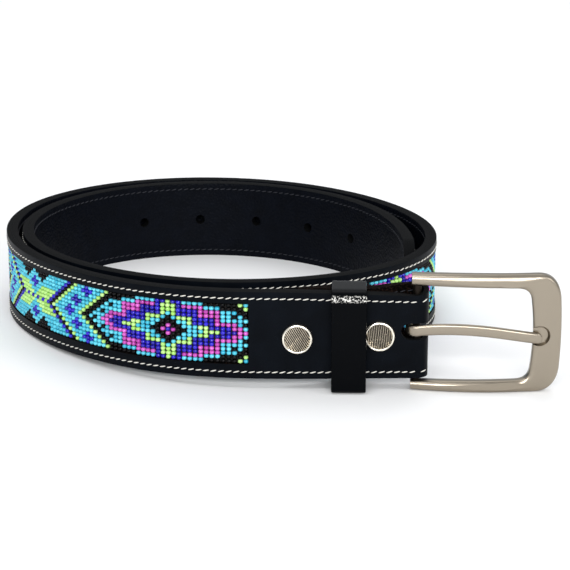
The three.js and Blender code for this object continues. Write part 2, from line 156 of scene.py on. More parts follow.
def middle_line(s):
    angle = np.clip((FOLD_FROM - s) / FOLD_MIDDLE, 0.0, math.pi)
    u = np.clip(FLAP_START - s, 0.0, None)
    heading = np.interp(s, PLACES, HEADING)
    on_coil = s >= FOLD_FROM
    x = np.where(on_coil, np.interp(s, PLACES, LINE_X), FOLD_X + FOLD_MIDDLE * np.sin(angle) - u)
    flap_y = FOLD_Y - FOLD_MIDDLE * np.cos(angle) + flap_offset(u)
    y = np.where(on_coil, np.interp(s, PLACES, LINE_Y), flap_y)
    nx = np.where(on_coil, -np.sin(heading), np.sin(angle))
    ny = np.where(on_coil, np.cos(heading), -np.cos(angle))
    return x, y, nx, ny


def height(s, up):
    """The strap narrows towards the buckle and is lifted there; its flap is folded a little askew."""
    narrow = BUCKLE_WIDTH / WIDTH
    along = np.where(s > FLAP_START, np.clip(s / TAPER_FROM, 0, 1), smooth((FLAP_START - s) / SKIVE))
    above_slot = smooth((up - SLOT_TOP) / (WIDTH - SLOT_TOP))
    on_flap = smooth((FOLD_FROM - s) / FOLD) * (1 - smooth((FLAP_START - s) / FLAP_RISE_LENGTH))
    askew = FLAP_RISE * on_flap
    lift = LIFT * (1 - smooth((s - LIFT_FROM) / (LIFT_TO - LIFT_FROM)))
    return WIDTH / 2 + (up - WIDTH / 2) * (narrow + (1 - narrow) * along) + lift + askew * above_slot


def lay(flat):
    """Flat points (along, out, up) in millimetres to their places on the coil in metres."""
    s, out, up = np.asarray(flat, dtype=float).T
    x, y, nx, ny = middle_line(s)
    n = HALF - (HALF - out) * thinning(s)
    return np.stack((x + nx * n, y + ny * n, height(s, up)), axis=1) * MM


print("the tail ends at", np.round(lay([[LENGTH, 0, WIDTH / 2]])[0], 3))

# %% [markdown]
# ## Finishing a mesh
# Three small helpers end every piece. One turns a bmesh into an object whose mesh holds its place,
# so that the object itself sits at the origin. One bends a flat piece and keeps its flat
# coordinates as a UV map, so that a pattern can follow the strip. One makes it ride on its body.

# %% From bmesh to object
SHARP = math.radians(38)


def finish(bm, name, materials):
    mesh = bpy.data.meshes.new(name)
    bm.to_mesh(mesh)
    bm.free()
    for material in materials:
        mesh.materials.append(material)
    mesh.shade_smooth()
    mesh.set_sharp_from_angle(angle=SHARP)
    piece = bpy.data.objects.new(name, mesh)
    bpy.context.collection.objects.link(piece)
    print(name, "has", sum(len(p.vertices) - 2 for p in mesh.polygons), "triangles")
    return piece


def bend(bm):
    uv = bm.loops.layers.uv.new("strip")
    for face in bm.faces:
        for loop in face.loops:
            loop[uv].uv = (loop.vert.co.x / 100, (loop.vert.co.z + loop.vert.co.y) / 100)
    placed = lay([v.co for v in bm.verts])
    for vert, place in zip(bm.verts, placed):
        vert.co = place


def belongs(piece, body, nodes=()):
    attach(piece, body)
    if nodes:
        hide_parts(*nodes)
    return piece


# %% [markdown]
# ## Materials
# Colours are written as they would be in a paint program and turned into linear light by one
# function. One more function adds a node, sets its values and joins its sockets.

# %% Colour and node helpers


def linear(code):
    parts = [int(code[i:i + 2], 16) / 255 for i in (1, 3, 5)]
    curve = [c / 12.92 if c <= 0.04045 else ((c + 0.055) / 1.055) ** 2.4 for c in parts]
    return (*curve, 1.0)


def add(tree, kind, values=None, links=None, **settings):
    node = tree.nodes.new(kind)
    for key, value in settings.items():
        setattr(node, key, value)
    for socket, value in (values or {}).items():
        node.inputs[socket].default_value = value
    for socket, source in (links or {}).items():
        tree.links.new(source, node.inputs[socket])
    return node


def new_material(name, colour, **values):
    """values are Principled sockets by name, with underscores for their spaces."""
    material = bpy.data.materials.new(name)
    material.use_nodes = True
    material.diffuse_color = linear(colour)
    shader = material.node_tree.nodes["Principled BSDF"]
    shader.inputs["Base Color"].default_value = linear(colour)
    for socket, value in values.items():
        shader.inputs[socket.replace("_", " ")].default_value = value
    return material, material.node_tree, shader


def bump(tree, shader, height, strength, depth_mm):
    values = {"Strength": strength, "Distance": depth_mm * MM}
    node = add(tree, "ShaderNodeBump", values, {"Height": height})
    tree.links.new(node.outputs["Normal"], shader.inputs["Normal"])


def two_tones(tree, shader, factor, low, high):
    ramp = add(tree, "ShaderNodeValToRGB", links={"Fac": factor})
    ramp.color_ramp.elements[0].color = linear(low)
    ramp.color_ramp.elements[1].color = linear(high)
    tree.links.new(ramp.outputs["Color"], shader.inputs["Base Color"])
    return ramp


print("middle grey in linear light:", round(linear("#808080")[0], 3))

# %% [markdown]
# ### Leather
# The front is smooth pigmented cowhide: a black finish that leans to blue, with pores that are only
# just seen. The lining is an embossed pebble grain, 1.25 mm from bump to bump. Cut edges were
# sanded and painted, which leaves fine streaks along the strip, and where no paint went, in the
# window and on the flap, the brown fibres show. Pores and fibres are really finer than this, and
# are drawn as coarse as they need to be to show at all.

# %% Leather materials
# Sizes of the patterns in millimetres, and how often streaks repeat along and across the strip.
PER_METRE = 1000.0
PORES, PEBBLES, FIBRES = 0.55, 1.25, 0.7
CLOUDS, LINING_CLOUDS = 9.0, 6.0
STREAKS = (40.0, 700.0, 1.0)


def cowhide():
    material, tree, shader = new_material(
        "pigmented_cowhide", "#070B11", Roughness=0.42, Specular_IOR_Level=0.05)
    at = add(tree, "ShaderNodeTexCoord").outputs["Object"]
    pores = add(tree, "ShaderNodeTexVoronoi", {"Scale": PER_METRE / PORES}, {"Vector": at})
    clouds = add(tree, "ShaderNodeTexNoise", {"Scale": PER_METRE / CLOUDS, "Detail": 4.0}, {"Vector": at})
    two_tones(tree, shader, clouds.outputs["Fac"], "#020305", "#080D14")
    rough = add(tree, "ShaderNodeMapRange", {"To Min": 0.34, "To Max": 0.52},
                {"Value": clouds.outputs["Fac"]})
    tree.links.new(rough.outputs["Result"], shader.inputs["Roughness"])
    bump(tree, shader, pores.outputs["Distance"], 0.25, 0.12)
    return material


def pebbled_lining():
    material, tree, shader = new_material(
        "pebbled_lining", "#04060B", Roughness=0.45, Specular_IOR_Level=0.06)
    at = add(tree, "ShaderNodeTexCoord").outputs["Object"]
    pebbles = add(tree, "ShaderNodeTexVoronoi", {"Scale": PER_METRE / PEBBLES}, {"Vector": at})
    clouds = add(tree, "ShaderNodeTexNoise", {"Scale": PER_METRE / LINING_CLOUDS, "Detail": 5.0},
                 {"Vector": at})
    two_tones(tree, shader, clouds.outputs["Fac"], "#020306", "#070B14")
    bump(tree, shader, pebbles.outputs["Distance"], 0.75, 0.3)
    return material


def painted_edge():
    material, tree, shader = new_material(
        "painted_edge", "#0E0F10", Roughness=0.75, Specular_IOR_Level=0.05)
    strip = add(tree, "ShaderNodeUVMap", uv_map="strip").outputs["UV"]
    along = add(tree, "ShaderNodeMapping", {"Scale": STREAKS}, {"Vector": strip})
    streaks = add(tree, "ShaderNodeTexNoise", {"Scale": 1.0, "Detail": 4.0},
                  {"Vector": along.outputs["Vector"]})
    two_tones(tree, shader, streaks.outputs["Fac"], "#040405", "#151617")
    bump(tree, shader, streaks.outputs["Fac"], 0.4, 0.15)
    return material


def raw_edge():
    material, tree, shader = new_material(
        "raw_leather_edge", "#1A100C", Roughness=0.85, Specular_IOR_Level=0.03)
    at = add(tree, "ShaderNodeTexCoord").outputs["Object"]
    fibres = add(tree, "ShaderNodeTexNoise", {"Scale": PER_METRE / FIBRES, "Detail": 6.0},
                 {"Vector": at})
    ramp = two_tones(tree, shader, fibres.outputs["Fac"], "#050404", "#33231C")
    ramp.color_ramp.elements[0].position = 0.5
    ramp.color_ramp.elements[1].position = 0.78
    bump(tree, shader, fibres.outputs["Fac"], 0.9, 0.4)
    return material


COWHIDE, LINING, EDGE, RAW = cowhide(), pebbled_lining(), painted_edge(), raw_edge()
print("leathers:", COWHIDE.name, LINING.name, EDGE.name, RAW.name)

# %% [markdown]
# ## The strap
# A strap could be swept from a small section, but its window, holes and rounded tail are easier to
# cut while it is flat. So each layer starts as a grid whose lines are moved to where they are
# needed, is squeezed to a round end at the tail, pulled out to its thickness and bevelled along its
# edges. Holes are cut with round cutters, and only then is the layer laid along the coil.

# %% Places of the cuts
PITCH = 2.414
COLUMNS = 309
WINDOW_START = 70.0
WINDOW_END = WINDOW_START + COLUMNS * PITCH
WINDOW_LOW, WINDOW_HIGH = 6.2, 32.8
HOLES = [932.8 + 30 * i for i in range(5)]
HOLE_RADIUS, CUT_DEPTH = 2.4, 8.0
SLOT_REACH, SLOT_BEHIND, SLOT_HEIGHT = 6.6, 4.8, 7.6
TONGUE_RISE = 0.5
STITCH_INSET = 2.9
LINING_SHORT = 6.0
EDGE_ROUND = 0.8
STATION, STATION_CLEAR = 2.0, 0.9
NEAR = 0.1


def stations(start, end):
    """Where the grid has its lines along the strip: closer at the fold and at the rounded tail."""
    fold = np.linspace(FLAP_START - 1, FOLD_FROM + 1, 21)
    tip = end - TIP + TIP * np.sin(np.linspace(0, math.pi / 2, 13))
    coil = np.arange(3, end - TIP - 1, STATION)
    flap = np.arange(start, FLAP_START - 2, STATION)
    coil = coil[(abs(coil - WINDOW_START) > STATION_CLEAR) & (abs(coil - WINDOW_END) > STATION_CLEAR)]
    return np.sort(np.concatenate((flap, fold, coil, [WINDOW_START, WINDOW_END], tip)))


def flat_grid(along, up):
    bm = bmesh.new()
    cols, rows = len(along) - 1, len(up) - 1
    bmesh.ops.create_grid(bm, x_segments=cols, y_segments=rows, size=0.5)
    for v in bm.verts:
        i, j = round((v.co.x + 0.5) * cols), round((v.co.y + 0.5) * rows)
        v.co = (along[i], 0.0, up[j])
    return bm


def squeeze_tip(bm, end):
    for v in bm.verts:
        t = (v.co.x - end + TIP) / TIP
        if t > 0:
            v.co.z = WIDTH / 2 + (v.co.z - WIDTH / 2) * math.sqrt(max(0.0, 1 - t * t))
    bmesh.ops.remove_doubles(bm, verts=bm.verts, dist=0.001)


print("the bead window runs from", WINDOW_START, "to", round(WINDOW_END, 1), "mm")

# %% One layer of leather, still flat
ROWS = [0, 1.3, 2.3, STITCH_INSET, 3.5, 5.0, WINDOW_LOW, 10.9, 15.3, 19.7, 24.1, 28.5, WINDOW_HIGH,
        34.0, WIDTH - 3.5, WIDTH - STITCH_INSET, WIDTH - 2.3, WIDTH - 1.3, WIDTH]


def in_window(point):
    return WINDOW_START < point.x < WINDOW_END and WINDOW_LOW < point.z < WINDOW_HIGH


def near_window(edge):
    a, b = (v.co for v in edge.verts)
    mid = (a + b) / 2
    inside_x = WINDOW_START - NEAR < mid.x < WINDOW_END + NEAR
    return inside_x and WINDOW_LOW - NEAR < mid.z < WINDOW_HIGH + NEAR


def thicken(bm, back, front):
    for v in bm.verts:
        v.co.y = back
    made = bmesh.ops.extrude_face_region(bm, geom=bm.faces[:])
    moved = [g for g in made["geom"] if isinstance(g, bmesh.types.BMVert)]
    bmesh.ops.translate(bm, verts=moved, vec=(0, front - back, 0))
    bmesh.ops.recalc_face_normals(bm, faces=bm.faces)


def outline_edges(bm, side):
    """Edges where the wide face at y = side meets a narrow one."""
    found = []
    for e in bm.edges:
        if len(e.link_faces) == 2 and all(abs(v.co.y - side) < 1e-4 for v in e.verts):
            if sorted(abs(f.normal.y) < 0.5 for f in e.link_faces) == [False, True]:
                found.append(e)
    return found


def round_off(bm, edges, size, segments):
    """Bevels edges, with the defaults that differ from the editor's written out."""
    bmesh.ops.bevel(bm, geom=edges, offset=size, offset_type="OFFSET", segments=segments, profile=0.5,
                    affect="EDGES", material=-1, clamp_overlap=True)


def flat_layer(start, back, front, window, outside):
    bm = flat_grid(stations(start, LENGTH), ROWS)
    if window:
        inside = [f for f in bm.faces if in_window(f.calc_center_median())]
        bmesh.ops.delete(bm, geom=inside, context="FACES")
    squeeze_tip(bm, LENGTH)
    thicken(bm, back, front)
    cut = [e for e in outline_edges(bm, outside) if window and near_window(e)]
    rim = [e for e in outline_edges(bm, outside) if e not in cut]
    round_off(bm, rim, EDGE_ROUND, 3)
    return bm


print("grid lines:", len(stations(FLAP_END, LENGTH)), "along the strip,", len(ROWS), "across it")

# %% [markdown]
# ### Cutting the holes
# Punched holes are clean cylinders through both layers, and the slot for the tongue is a cube whose
# upright edges are rounded to half circles. A Boolean modifier cuts them in one go, while flat.

# %% Cutters for the holes and the slot


def hole_cutters():
    bm = bmesh.new()
    turn = Matrix.Rotation(math.pi / 2, 4, "X")
    for s in HOLES:
        place = Matrix.Translation((s, 0, WIDTH / 2)) @ turn
        bmesh.ops.create_cone(bm, cap_ends=True, segments=28, radius1=HOLE_RADIUS, radius2=HOLE_RADIUS,
                              depth=CUT_DEPTH, matrix=place)
    low, high = FLAP_START - SLOT_BEHIND, SLOT_REACH
    size = Matrix.Diagonal((high - low, CUT_DEPTH, SLOT_HEIGHT, 1))
    slot = Matrix.Translation(((low + high) / 2, 0, BAR.z + TONGUE_RISE - LIFT)) @ size
    made = bmesh.ops.create_cube(bm, size=1, matrix=slot)
    ends = {e for v in made["verts"] for e in v.link_edges
            if abs((e.verts[0].co - e.verts[1].co).normalized().y) > 0.9}
    round_off(bm, list(ends), SLOT_HEIGHT / 2 - 0.02, 8)
    return bm


def cut_away(bm, cutter_bm):
    body, cutter = finish(bm, "body", []), finish(cutter_bm, "cutter", [])
    modifier = body.modifiers.new("cut", "BOOLEAN")
    modifier.operation, modifier.solver, modifier.object = "DIFFERENCE", "EXACT", cutter
    cut = bmesh.new()
    cut.from_mesh(body.evaluated_get(bpy.context.evaluated_depsgraph_get()).to_mesh())
    for scrap in (body, cutter):
        mesh = scrap.data
        bpy.data.objects.remove(scrap)
        bpy.data.meshes.remove(mesh)
    bmesh.ops.triangulate(cut, faces=[f for f in cut.faces if len(f.verts) > 4])
    return cut


# %% Which leather each face is


def paint_faces(bm, window):
    """Slot 0 is the wide side, 1 a painted edge, 2 bare fibre: in the window, and on the flap."""
    for f in bm.faces:
        at = f.calc_center_median()
        narrow = abs(f.normal.y) < 0.55
        on_flap = at.x < FLAP_START + 1
        beside = WINDOW_START - 1 < at.x < WINDOW_END + 1 and WINDOW_LOW - 1 < at.z < WINDOW_HIGH + 1
        cut = window and narrow and beside
        f.material_index = 0
        if narrow:
            f.material_index = 2 if cut or on_flap else 1
        elif on_flap and not window:
            f.material_index = 2


def make_layer(name, start, back, front, window, leather):
    outside = front if window else back
    bm = flat_layer(start, back, front, window, outside)
    bm = cut_away(bm, hole_cutters())
    paint_faces(bm, window)
    bend(bm)
    return finish(bm, name, [leather, EDGE, RAW])


face = make_layer("face_leather", FLAP_END, FACE_BACK, HALF, True, COWHIDE)
belongs(face, "belt", ["strap_face"])
lining = make_layer("lining_leather", FLAP_END + LINING_SHORT, -HALF, LINING_FRONT, False, LINING)
belongs(lining, "belt", ["strap_lining"])

# %% [markdown]
# ## The bead panel
# The beads are size 11 seed beads, woven on a loom in 15 rows: each column of beads sits on a
# thread that goes up and back across the belt, and long warp threads hold the columns apart.
# There are more than four thousand of them. Modelling one and copying its points with arrays is
# fast, and a colour for each comes from a chart like the ones that beaders draw by hand.

# %% The chart
# Each line is a row of beads, from the strap's edge to its middle; each letter is one column, from
# a lozenge's centre to the middle of the field of flowers.
CHART = (
    "GBBCCCCKKKKKKGCCCCBCCGKBCCCCCCKKKKKC",
    "GGBMMMMCCCKKKKGCCBBBCCGKBCCCCCCKKKCC",
    "GGBBBBMMMMCCCKKGCCBCCCCGKBCCCCCCKCCB",
    "CGBBBBMMMMCCKCKKGCCCCBCCGKBCCCCCCCBB",
    "KCGGGBBBBMCCCCCKKGCCBBBCCGKBGGGGGCCB",
    "KKCCGBBBBMMMMCKCKKGCCBCCCCGKBGGGGGCC",
    "MKKCCCGGBBBBMMCCCKKGCCCBCCCGKBGGGGGC",
    "BMKKCCCGGGBBBMMCKCKKGCBBBCCCGKBGBGBG",
)
BEAD_NAMES = {"C": "turquoise", "B": "blue", "G": "lime", "M": "pink", "K": "black"}
FIRST_CENTRE = 14
REPEAT = 70
ROW_COUNT = 15
ROW_PITCH = 1.76
BEAD_ACROSS, BEAD_TALL = 2.16, 1.64
BEAD_MIDDLE = 1.25
PANEL_MIDDLE = (WINDOW_LOW + WINDOW_HIGH) / 2


def bead_letter(column, row):
    """The pattern mirrors about each lozenge, about each field of flowers and about its middle row."""
    c = abs(FIRST_CENTRE - column) % REPEAT
    c = min(c, REPEAT - c)
    r = min(row, ROW_COUNT - 1 - row)
    return CHART[r][c]


print("chart rows:", len(CHART), "columns:", {len(row) for row in CHART})

# %% One bead
BEAD_PROFILE = ((0.4, -1), (0.8, -0.76), (1, -0.2), (1, 0.2), (0.8, 0.76), (0.4, 1))
BEAD_SIDES = 9


def one_bead():
    """A short barrel: a profile over the belly, spun round the thread, with its unseen hole closed."""
    bm = bmesh.new()
    r, h = BEAD_ACROSS / 2, BEAD_TALL / 2
    points = [bm.verts.new((x * r, 0, z * h)) for x, z in BEAD_PROFILE]
    line = [bm.edges.new(pair) for pair in zip(points, points[1:])]
    bmesh.ops.spin(bm, geom=points + line, cent=(0, 0, 0), axis=(0, 0, 1), angle=math.tau,
                   steps=BEAD_SIDES, use_merge=True)
    bmesh.ops.holes_fill(bm, edges=[e for e in bm.edges if e.is_boundary], sides=0)
    bmesh.ops.recalc_face_normals(bm, faces=bm.faces)
    mesh = bpy.data.meshes.new("one_bead")
    bm.to_mesh(mesh)
    bm.free()
    return mesh


bead_seed = one_bead()
print("one bead has", len(bead_seed.polygons), "faces")

# %% Copying a small shape many times


def copies(name, seed, places, shades, material):
    """places holds a 3 by 4 matrix for each copy, and shades a number for each, for small differences."""
    corners = np.array([v.co for v in seed.vertices])
    faces = [list(p.vertices) for p in seed.polygons]
    placed = np.einsum("nij,vj->nvi", places[:, :, :3], corners) + places[:, None, :, 3]
    mesh = bpy.data.meshes.new(name)
    offsets = np.arange(len(places)) * len(corners)
    all_faces = [[v + o for v in f] for o in offsets for f in faces]
    mesh.from_pydata(placed.reshape(-1, 3).tolist(), [], all_faces)
    shade = mesh.attributes.new("shade", "FLOAT", "POINT")
    shade.data.foreach_set("value", np.repeat(shades, len(corners)).astype(np.float32))
    mesh.materials.append(material)
    mesh.shade_smooth()
    piece = bpy.data.objects.new(name, mesh)
    bpy.context.collection.objects.link(piece)
    print(name, len(places), "copies,", sum(len(f) - 2 for f in faces) * len(places), "triangles")
    return piece


def frames_on_strip(flat, tilt=None):
    """A matrix for each flat point: x along the belt, y out of it, z up."""
    flat = np.asarray(flat, dtype=float)
    here = lay(flat)
    along = lay(flat + [0.05, 0, 0]) - here
    along /= np.linalg.norm(along, axis=1, keepdims=True)
    up = np.tile([0.0, 0.0, 1.0], (len(flat), 1))
    out = np.cross(up, along)
    out /= np.linalg.norm(out, axis=1, keepdims=True)
    up = np.cross(along, out)
    axes = np.stack((along, out, up), axis=2)
    if tilt is not None:
        c, s = np.cos(tilt), np.sin(tilt)
        turn = np.zeros((len(flat), 3, 3))
        turn[:, 0, 0], turn[:, 0, 2], turn[:, 2, 0], turn[:, 2, 2], turn[:, 1, 1] = c, s, -s, c, 1
        axes = axes @ turn
    return np.concatenate((axes * MM, here[:, :, None]), axis=2)


# %% [markdown]
# ### Bead glass
# Opaque glass is dyed right through and fire polished, so each bead has a small bright highlight on
# its upper side and goes dark below. No two beads have just the same depth of colour. The black
# ones are given less shine, because at this size a full shine would turn the whole field grey.

# %% Glass materials
BEAD_COLOURS = {
    "turquoise": ("#2FA9C6", "#62D2E6"),
    "blue": ("#140B8E", "#2C22C4"),
    "lime": ("#9BD163", "#C2ED92"),
    "pink": ("#A83498", "#DB68CB"),
    "black": ("#020202", "#060405"),
}


def bead_glass(name, dark, light):
    gloss = 0.15 if name == "black" else 0.5
    material, tree, shader = new_material("glass_" + name, dark, Roughness=0.14, Specular_IOR_Level=gloss)
    shade = add(tree, "ShaderNodeAttribute", attribute_name="shade").outputs["Fac"]
    two_tones(tree, shader, shade, dark, light)
    return material


print("glass:", ", ".join(BEAD_COLOURS))

# %% The beads
LOOSE, SIZE_SPREAD, SHADE_SPREAD = 0.035, 0.02, 0.28
rng = np.random.default_rng(11)
BEAD_PLACES = {name: [] for name in BEAD_NAMES.values()}
for column in range(COLUMNS):
    s = WINDOW_START + (column + 0.5) * PITCH
    for row in range(ROW_COUNT):
        z = PANEL_MIDDLE + ((ROW_COUNT - 1) / 2 - row) * ROW_PITCH
        BEAD_PLACES[BEAD_NAMES[bead_letter(column, row)]].append((s, BEAD_MIDDLE, z))

bead_pieces = []
for name, places in BEAD_PLACES.items():
    places = np.array(places) + rng.normal(0, LOOSE, (len(places), 3))
    shades = np.clip(rng.normal(0.5, SHADE_SPREAD, len(places)), 0, 1)
    glass = bead_glass(name, *BEAD_COLOURS[name])
    size = 1 + rng.normal(0, SIZE_SPREAD, (len(places), 1, 1))
    matrices = frames_on_strip(places)
    matrices[:, :, :3] *= size
    piece = copies("beads_" + name, bead_seed, matrices, shades, glass)
    bead_pieces.append(piece)

# %% [markdown]
# ### The cloth behind the beads
# The loomed strip is glued to a dark woven backing, which shows as black gaps between the beads. A
# thin flat strip in the same coordinates is enough, a little narrower than the window.

# %% Backing of the panel
BACKING_INSET, BACKING_BACK, BACKING_FRONT = 0.3, 0.2, 0.7


def backing_cloth():
    material, tree, shader = new_material("backing_cloth", "#060405", Roughness=0.9)
    strip = add(tree, "ShaderNodeUVMap", uv_map="strip").outputs["UV"]
    threads = add(tree, "ShaderNodeTexWave", {"Scale": 60.0, "Distortion": 1.5}, {"Vector": strip},
                  bands_direction="Y")
    two_tones(tree, shader, threads.outputs["Fac"], "#030202", "#140D0B")
    bump(tree, shader, threads.outputs["Fac"], 0.5, 0.2)
    return material


def make_backing():
    along = np.arange(WINDOW_START + BACKING_INSET, WINDOW_END - BACKING_INSET, STATION)
    bm = flat_grid(along, [WINDOW_LOW + BACKING_INSET, PANEL_MIDDLE, WINDOW_HIGH - BACKING_INSET])
    thicken(bm, BACKING_BACK, BACKING_FRONT)
    bend(bm)
    return finish(bm, "bead_backing", [backing_cloth()])


backing = make_backing()
for piece in [*bead_pieces, backing]:
    belongs(piece, "belt", ["bead_band"])

# %% [markdown]
# ## Stitches
# A lockstitch shows as separate short lengths of thread, a little slanted, which dip into the
# leather at both ends. One stitch is a stretched ball whose ends are pulled down. They follow the
# strap's outline at a constant inset, also round the tail.

# %% One stitch, and the line that the stitches follow
STITCH_PITCH = 3.2
STITCH_LONG, STITCH_WIDE, STITCH_HIGH = 3.05, 0.54, 0.56
STITCH_END_SHARE, STITCH_DIP = 0.82, 0.3
STITCH_SLANT = math.radians(-12)


def stitch_line(start):
    inset = STITCH_INSET
    bottom = [(s, inset) for s in np.arange(start, LENGTH - TIP, 0.5)]
    angles = np.linspace(-math.pi / 2, math.pi / 2, 90)
    across, high = TIP - inset, WIDTH / 2 - inset
    tip = [(LENGTH - TIP + across * math.cos(a), WIDTH / 2 + high * math.sin(a)) for a in angles]
    top = [(s, WIDTH - z) for s, z in reversed(bottom)]
    return np.array(bottom + tip + top)


def stitch_places(start):
    line = stitch_line(start)
    walked = np.concatenate(([0], np.cumsum(np.linalg.norm(np.diff(line, axis=0), axis=1))))
    at = np.arange(STITCH_PITCH / 2, walked[-1], STITCH_PITCH)
    s, z = (np.interp(at, walked, line[:, k]) for k in (0, 1))
    ahead_s, ahead_z = (np.interp(at + 0.4, walked, line[:, k]) for k in (0, 1))
    return s, z, np.arctan2(ahead_z - z, ahead_s - s)


def one_stitch():
    bm = bmesh.new()
    bmesh.ops.create_uvsphere(bm, u_segments=8, v_segments=8, radius=1,
                              matrix=Matrix.Rotation(math.pi / 2, 4, "Y"))
    for v in bm.verts:
        x = v.co.x
        fat = STITCH_END_SHARE + (1 - STITCH_END_SHARE) * (1 - x * x)
        y = v.co.y * fat * STITCH_HIGH / 2 - STITCH_DIP * x * x
        v.co = (x * STITCH_LONG / 2, y, v.co.z * fat * STITCH_WIDE / 2)
    mesh = bpy.data.meshes.new("one_stitch")
    bm.to_mesh(mesh)
    bm.free()
    return mesh


stitch_seed = one_stitch()
print("one stitch has", len(stitch_seed.polygons), "faces")

# %% [markdown]
# ### Thread
# Bonded polyester thread is twisted, and its strands break up the light, which takes the shine off.
# A fine noise gives that. It is coarser than the strands, which are too fine to see from here.

# %% Thread material and both rows of stitches
THREAD_GRAIN = 0.5


def twisted_thread(name, dark, light):
    material, tree, shader = new_material(name, light, Roughness=0.75, Specular_IOR_Level=0.3)
    at = add(tree, "ShaderNodeTexCoord").outputs["Object"]
    twist = add(tree, "ShaderNodeTexNoise", {"Scale": PER_METRE / THREAD_GRAIN, "Detail": 2.0},
                {"Vector": at})
    two_tones(tree, shader, twist.outputs["Fac"], dark, light)
    bump(tree, shader, twist.outputs["Fac"], 0.5, 0.15)
    return material


def stitch_row(name, start, out, slant, material):
    s, z, heading = stitch_places(start)
    flat = np.stack((s, np.full(len(s), out), z), axis=1)
    tilt = -(heading + slant) + rng.normal(0, 0.05, len(s))
    matrices = frames_on_strip(flat, tilt=tilt)
    if out < 0:
        matrices[:, :, 1:3] *= -1
    return copies(name, stitch_seed, matrices, rng.random(len(s)), material)


WHITE_THREAD = twisted_thread("white_thread", "#BDBAB1", "#ECE9E0")
DARK_THREAD = twisted_thread("charcoal_thread", "#15161A", "#2F3138")
white_stitches = stitch_row("stitches_white", FLAP_END + 3, HALF + 0.12, STITCH_SLANT, WHITE_THREAD)
belongs(white_stitches, "belt")
dark_stitches = stitch_row("stitches_dark", FLAP_END + 9, -HALF - 0.1, -STITCH_SLANT, DARK_THREAD)
belongs(dark_stitches, "belt")

# %% [markdown]
# ## Keeper, snaps and buckle
# Three helpers draw these: a curve between control points, a curve through points, and a skin
# between rings of points, which is how a section is swept along a line.

# %% Curves and skins


def bezier(*points, count=8):
    """Points along a curve with two, three or four control points, without the last one."""
    t = np.linspace(0, 1, count, endpoint=False)[:, None]
    stage = [np.array(p, dtype=float) + 0 * t for p in points]
    while len(stage) > 1:
        stage = [a + (b - a) * t for a, b in zip(stage, stage[1:])]
    return stage[0]


def curve_stretch(a, b, c, d, count):
    """From b to c on a curve that also heeds a and d, and doesn't overshoot where points are uneven."""
    roots = [np.linalg.norm(q - p) ** 0.5 for p, q in ((a, b), (b, c), (c, d))]
    k = np.concatenate(([0], np.cumsum(roots)))
    t = np.linspace(k[1], k[2], count, endpoint=False)[:, None]

    def mix(p, q, low, high):
        return ((high - t) * p + (t - low) * q) / (high - low)

    one, two, three = mix(a, b, k[0], k[1]), mix(b, c, k[1], k[2]), mix(c, d, k[2], k[3])
    return mix(mix(one, two, k[0], k[2]), mix(two, three, k[1], k[3]), k[1], k[2])


def through_points(points, count):
    p = np.array(points, dtype=float)
    p = np.vstack((2 * p[0] - p[1], p, 2 * p[-1] - p[-2]))
    return np.vstack([curve_stretch(*four, count) for four in zip(p, p[1:], p[2:], p[3:])] + [p[-2:-1]])


def ring_of(bm, points):
    """A closed loop of edges through the points."""
    verts = [bm.verts.new(point) for point in points]
    return [bm.edges.new(pair) for pair in zip(verts, verts[1:] + verts[:1])]


def skin(rings, closed=False):
    """Bridges each ring of points to the next, and caps both ends unless the rings go full circle."""
    bm = bmesh.new()
    made = [ring_of(bm, points) for points in rings]
    for a, b in zip(made, made[1:] + (made[:1] if closed else [])):
        bmesh.ops.bridge_loops(bm, edges=a + b)
    if not closed:
        for end in (made[0], made[-1]):
            bmesh.ops.contextual_create(bm, geom=end)
    bmesh.ops.recalc_face_normals(bm, faces=bm.faces)
    return bm


def place_mm(bm, at=(0, 0, 0)):
    for v in bm.verts:
        v.co = (v.co + Vector(at)) * MM


# %% [markdown]
# ### The keeper loop
# The keeper is a band of glossy leather round the strap and its folded end. Where it turns over
# the strap's top edge, its finish is stretched and cracked, and the light glints on it in pale specks.
# These glints are a painted highlight, a pale colour in the material, so they stay where they are
# from every side.

# %% Keeper
LOOP_LEFT, LOOP_WIDTH, LOOP_WALL, LOOP_FRONT = 21.0, 14.6, 1.5, 5.9
LOOP_CORNER, LOOP_SHOULDER = 2.2, 6.0
LOOP_BACK, LOOP_LOW = 2.1, 0.5
LOOP_TOP = WIDTH + LIFT + FIT_GAP + LOOP_WALL
LOOP_EDGE = ((0, 0), (0, 0.6), (0.12, 0.86), (0.5, 1), (1.2, 1))
# Heights in mm of the band of pale specks that paints the highlight on the keeper's shoulder, then the
# size of the cracks.
GLINT_LOW, GLINT_HIGH, CRACK_GRAIN = (40.1, 40.7), (42.2, 43.2), 0.8


def loop_outline(inset):
    front = BAR.y - FACE_AHEAD - LOOP_FRONT + inset
    back = FOLD_Y + FOLD_OUTER + FLAP_BULGE + LOOP_BACK - inset
    low, high = LOOP_LOW + inset, LOOP_TOP - inset
    r, shoulder = LOOP_CORNER - inset * 0.6, LOOP_SHOULDER - inset
    return np.vstack((
        bezier((front + r, low), (back - r, low), count=6),
        bezier((back - r, low), (back, low), (back, low + r), count=5),
        bezier((back, low + r), (back, high - r), count=20),
        bezier((back, high - r), (back, high), (back - r, high), count=5),
        bezier((back - r, high), (front + shoulder, high), count=6),
        bezier((front + shoulder, high), (front, high), (front, high - shoulder), count=16),
        bezier((front, high - shoulder), (front, low + r), count=20),
        bezier((front, low + r), (front, low), (front + r, low), count=5),
    ))


